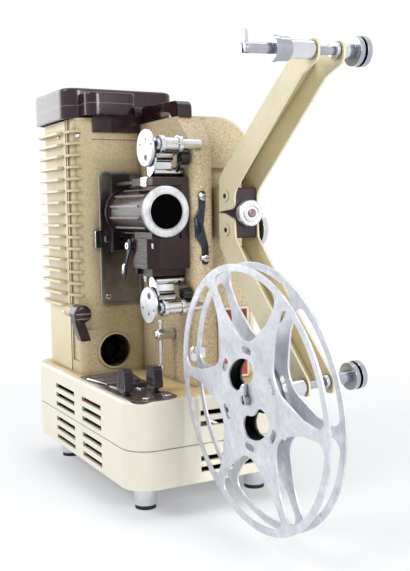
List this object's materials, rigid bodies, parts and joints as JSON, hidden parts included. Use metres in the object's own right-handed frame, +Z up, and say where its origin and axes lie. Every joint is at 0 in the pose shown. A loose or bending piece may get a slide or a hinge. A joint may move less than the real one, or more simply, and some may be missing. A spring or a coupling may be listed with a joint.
{
  "type": "movie projector",
  "caption": "Table-top narrow-film movie projector with finned lamp house, side-mounted lens and film path, folding reel arms and one take-up reel.",
  "frame": {"origin": "bottom centre of the whole projector's box, on the surface that the pads stand on", "axes": "+Z up, -Y towards the lens and the screen, +X away from the film side"},
  "size_m": [0.145, 0.4126, 0.3407],
  "materials": {
    "cream_paint": "smooth glossy cream enamel",
    "tan_crackle": "speckled tan hammered enamel",
    "tan_paint": "satin tan enamel on the fins",
    "arm_paint": "satin cream enamel",
    "brown_bakelite": "mottled dark brown bakelite, polished",
    "dark_bakelite": "dark aubergine bakelite, satin",
    "chrome": "bright chrome plate",
    "steel": "brushed steel",
    "blued_steel": "blued spring steel",
    "reel_aluminium": "matt grey aluminium with stains",
    "feet_aluminium": "turned aluminium",
    "rubber": "black rubber",
    "red_plate": "red enamel in a pale frame",
    "red_tape": "varnished red cotton tape",
    "lamination": "stacked steel laminations",
    "glass": "clear optical glass",
    "black_metal": "matt black enamel",
    "belt_rubber": "brown rubber belt",
    "control_bakelite": "dark engraved bakelite plate"
  },
  "bodies": {
    "frame": {"base_lower_shell": "cream_paint", "base_upper_shell": "cream_paint", "feet": "feet_aluminium", "foot_pads": "rubber", "transformer_core": "lamination", "transformer_coil": "red_tape", "mains_inlet": "dark_bakelite", "control_plate": "control_bakelite", "mechanism_casting": "tan_crackle", "mechanism_cover": "tan_paint", "front_plate": "red_plate", "lens_strap": "blued_steel", "arm_block": "dark_bakelite", "arm_pivots": "chrome", "lamp_house_shell": "tan_paint", "lamp_house_plinth": "tan_paint", "carrying_handle": "brown_bakelite", "gate_tray": "steel", "lamp": "glass", "lamp_socket": "steel", "condenser": "glass", "film_posts": "chrome", "motor": "black_metal", "drive_belt": "belt_rubber", "case_screws": "steel"},
    "lamp_switch": {"lamp_switch_lever": "dark_bakelite"},
    "motor_switch": {"motor_switch_lever": "dark_bakelite"},
    "dial": {"speed_dial": "dark_bakelite"},
    "upper_arm": {"upper_arm": "arm_paint", "upper_bushes": "chrome"},
    "upper_spindle": {"upper_spindle": "chrome", "upper_pulley": "chrome"},
    "upper_latch": {"upper_latch": "chrome"},
    "lower_arm": {"lower_arm": "arm_paint", "lower_bushes": "chrome"},
    "take_up": {"lower_spindle": "chrome", "lower_pulley": "chrome", "reel_near_flange": "reel_aluminium", "reel_far_flange": "reel_aluminium"},
    "lower_latch": {"lower_latch": "chrome"},
    "clamp": {"clamp_knob": "chrome"},
    "lens_carriage": {"lens_holder": "brown_bakelite", "lens_sleeve": "brown_bakelite", "pressure_plate": "steel"},
    "lens": {"lens_barrel": "feet_aluminium", "lens_glasses": "glass"},
    "upper_sprocket": {"upper_sprocket": "chrome"},
    "lower_sprocket": {"lower_sprocket": "chrome"},
    "upper_shoe": {"upper_shoe": "chrome"},
    "lower_shoe": {"lower_shoe": "chrome"},
    "upper_roller": {"upper_guide_roller": "chrome"},
    "lower_roller": {"lower_guide_roller": "chrome"},
    "framing": {"framing_rod": "chrome"},
    "fan": {"fan": "black_metal"},
    "shutter": {"shutter": "black_metal"},
    "upright": {"drive_shaft": "steel"},
    "claw": {"claw": "steel"},
    "door": {"lamp_house_door": "tan_paint"},
    "latch": {"door_latch": "brown_bakelite"},
    "cap": {"lamp_cap": "brown_bakelite"}
  },
  "joints": [
    {"name": "lamp_switch_rock", "type": "hinge", "parent": "frame", "child": "lamp_switch", "pos_m": [-0.0626, 0.00885, 0.078], "axis": [1, 0, 0], "range_deg": [-20, 20]},
    {"name": "motor_switch_rock", "type": "hinge", "parent": "frame", "child": "motor_switch", "pos_m": [-0.038, 0.00885, 0.078], "axis": [1, 0, 0], "range_deg": [-20, 20]},
    {"name": "dial_turn", "type": "hinge", "parent": "frame", "child": "dial", "pos_m": [-0.0415, 0.03585, 0.0888], "axis": [0, 0, 1], "range_deg": [0, 270]},
    {"name": "upper_arm_fold", "type": "hinge", "parent": "frame", "child": "upper_arm", "pos_m": [0.02425, -0.01695, 0.2385], "axis": [1, 0, 0], "range_deg": [0, 28]},
    {"name": "upper_spindle_turn", "type": "hinge", "parent": "upper_arm", "child": "upper_spindle", "pos_m": [0.02425, -0.12955, 0.3294], "axis": [0.9991, 0, 0.0419], "continuous": true},
    {"name": "upper_latch_flip", "type": "hinge", "parent": "upper_spindle", "child": "upper_latch", "pos_m": [-0.036, -0.12955, 0.32688], "axis": [0, -1, 0], "range_deg": [0, 90]},
    {"name": "lower_arm_fold", "type": "hinge", "parent": "frame", "child": "lower_arm", "pos_m": [0.02425, -0.01785, 0.2127], "axis": [-1, 0, 0], "range_deg": [0, 28]},
    {"name": "take_up_turn", "type": "hinge", "parent": "lower_arm", "child": "take_up", "pos_m": [0.02425, -0.11735, 0.1095], "axis": [0.9968, 0, 0.0802], "continuous": true},
    {"name": "lower_latch_flip", "type": "hinge", "parent": "take_up", "child": "lower_latch", "pos_m": [-0.03157, -0.11735, 0.10501], "axis": [0, -1, 0], "range_deg": [0, 90]},
    {"name": "clamp_turn", "type": "hinge", "parent": "frame", "child": "clamp", "pos_m": [0.02425, -0.02815, 0.2253], "axis": [0, 1, 0], "range_deg": [0, 270]},
    {"name": "carriage_slide", "type": "slide", "parent": "frame", "child": "lens_carriage", "axis": [0, -1, 0], "range_m": [0, 0.008]},
    {"name": "focus_slide", "type": "slide", "parent": "lens_carriage", "child": "lens", "axis": [0, -1, 0], "range_m": [0, 0.006]},
    {"name": "shutter_turn", "type": "hinge", "parent": "frame", "child": "shutter", "pos_m": [0.014, 0.08985, 0.2274], "axis": [0, 1, 0], "continuous": true},
    {"name": "fan_turn", "type": "hinge", "parent": "frame", "child": "fan", "pos_m": [-0.0326, 0.08985, 0.108], "axis": [0, 1, 0], "continuous": true},
    {"name": "upright_turn", "type": "hinge", "parent": "frame", "child": "upright", "pos_m": [0.005, 0.03485, 0.2274], "axis": [0, 0, 1], "continuous": true},
    {"name": "upper_sprocket_turn", "type": "hinge", "parent": "frame", "child": "upper_sprocket", "pos_m": [-0.02, 0.02185, 0.2765], "axis": [1, 0, 0], "continuous": true},
    {"name": "lower_sprocket_turn", "type": "hinge", "parent": "frame", "child": "lower_sprocket", "pos_m": [-0.02, 0.02185, 0.1545], "axis": [1, 0, 0], "continuous": true},
    {"name": "upper_shoe_open", "type": "hinge", "parent": "frame", "child": "upper_shoe", "pos_m": [-0.02, 0.01985, 0.258], "axis": [1, 0, 0], "range_deg": [0, 20]},
    {"name": "lower_shoe_open", "type": "hinge", "parent": "frame", "child": "lower_shoe", "pos_m": [-0.02, 0.01985, 0.173], "axis": [-1, 0, 0], "range_deg": [0, 20]},
    {"name": "upper_roller_turn", "type": "hinge", "parent": "frame", "child": "upper_roller", "pos_m": [-0.022, 0.00565, 0.2785], "axis": [1, 0, 0], "continuous": true},
    {"name": "lower_roller_turn", "type": "hinge", "parent": "frame", "child": "lower_roller", "pos_m": [-0.022, 0.00565, 0.1535], "axis": [1, 0, 0], "continuous": true},
    {"name": "framing_slide", "type": "slide", "parent": "frame", "child": "framing", "axis": [0, 0, 1], "range_m": [-0.003, 0.003]},
    {"name": "claw_slide", "type": "slide", "parent": "frame", "child": "claw", "axis": [0, 0, 1], "range_m": [0, 0.0076]},
    {"name": "door_swing", "type": "hinge", "parent": "frame", "child": "door", "pos_m": [-0.0115, 0.19925, 0.2], "axis": [0, 0, -1], "range_deg": [0, 100]},
    {"name": "latch_turn", "type": "hinge", "parent": "frame", "child": "latch", "pos_m": [-0.0649, 0.09685, 0.1425], "axis": [0, 1, 0], "range_deg": [0, 90]},
    {"name": "cap_lift", "type": "slide", "parent": "frame", "child": "cap", "axis": [0, 0, 1], "range_m": [0, 0.04]}
  ],
  "couplings": [
    {"joint": "fan_turn", "follows": "shutter_turn", "ratio": 2},
    {"joint": "upright_turn", "follows": "shutter_turn", "ratio": 1},
    {"joint": "upper_sprocket_turn", "follows": "shutter_turn", "ratio": 0.083333},
    {"joint": "lower_sprocket_turn", "follows": "shutter_turn", "ratio": 0.083333}
  ]
}
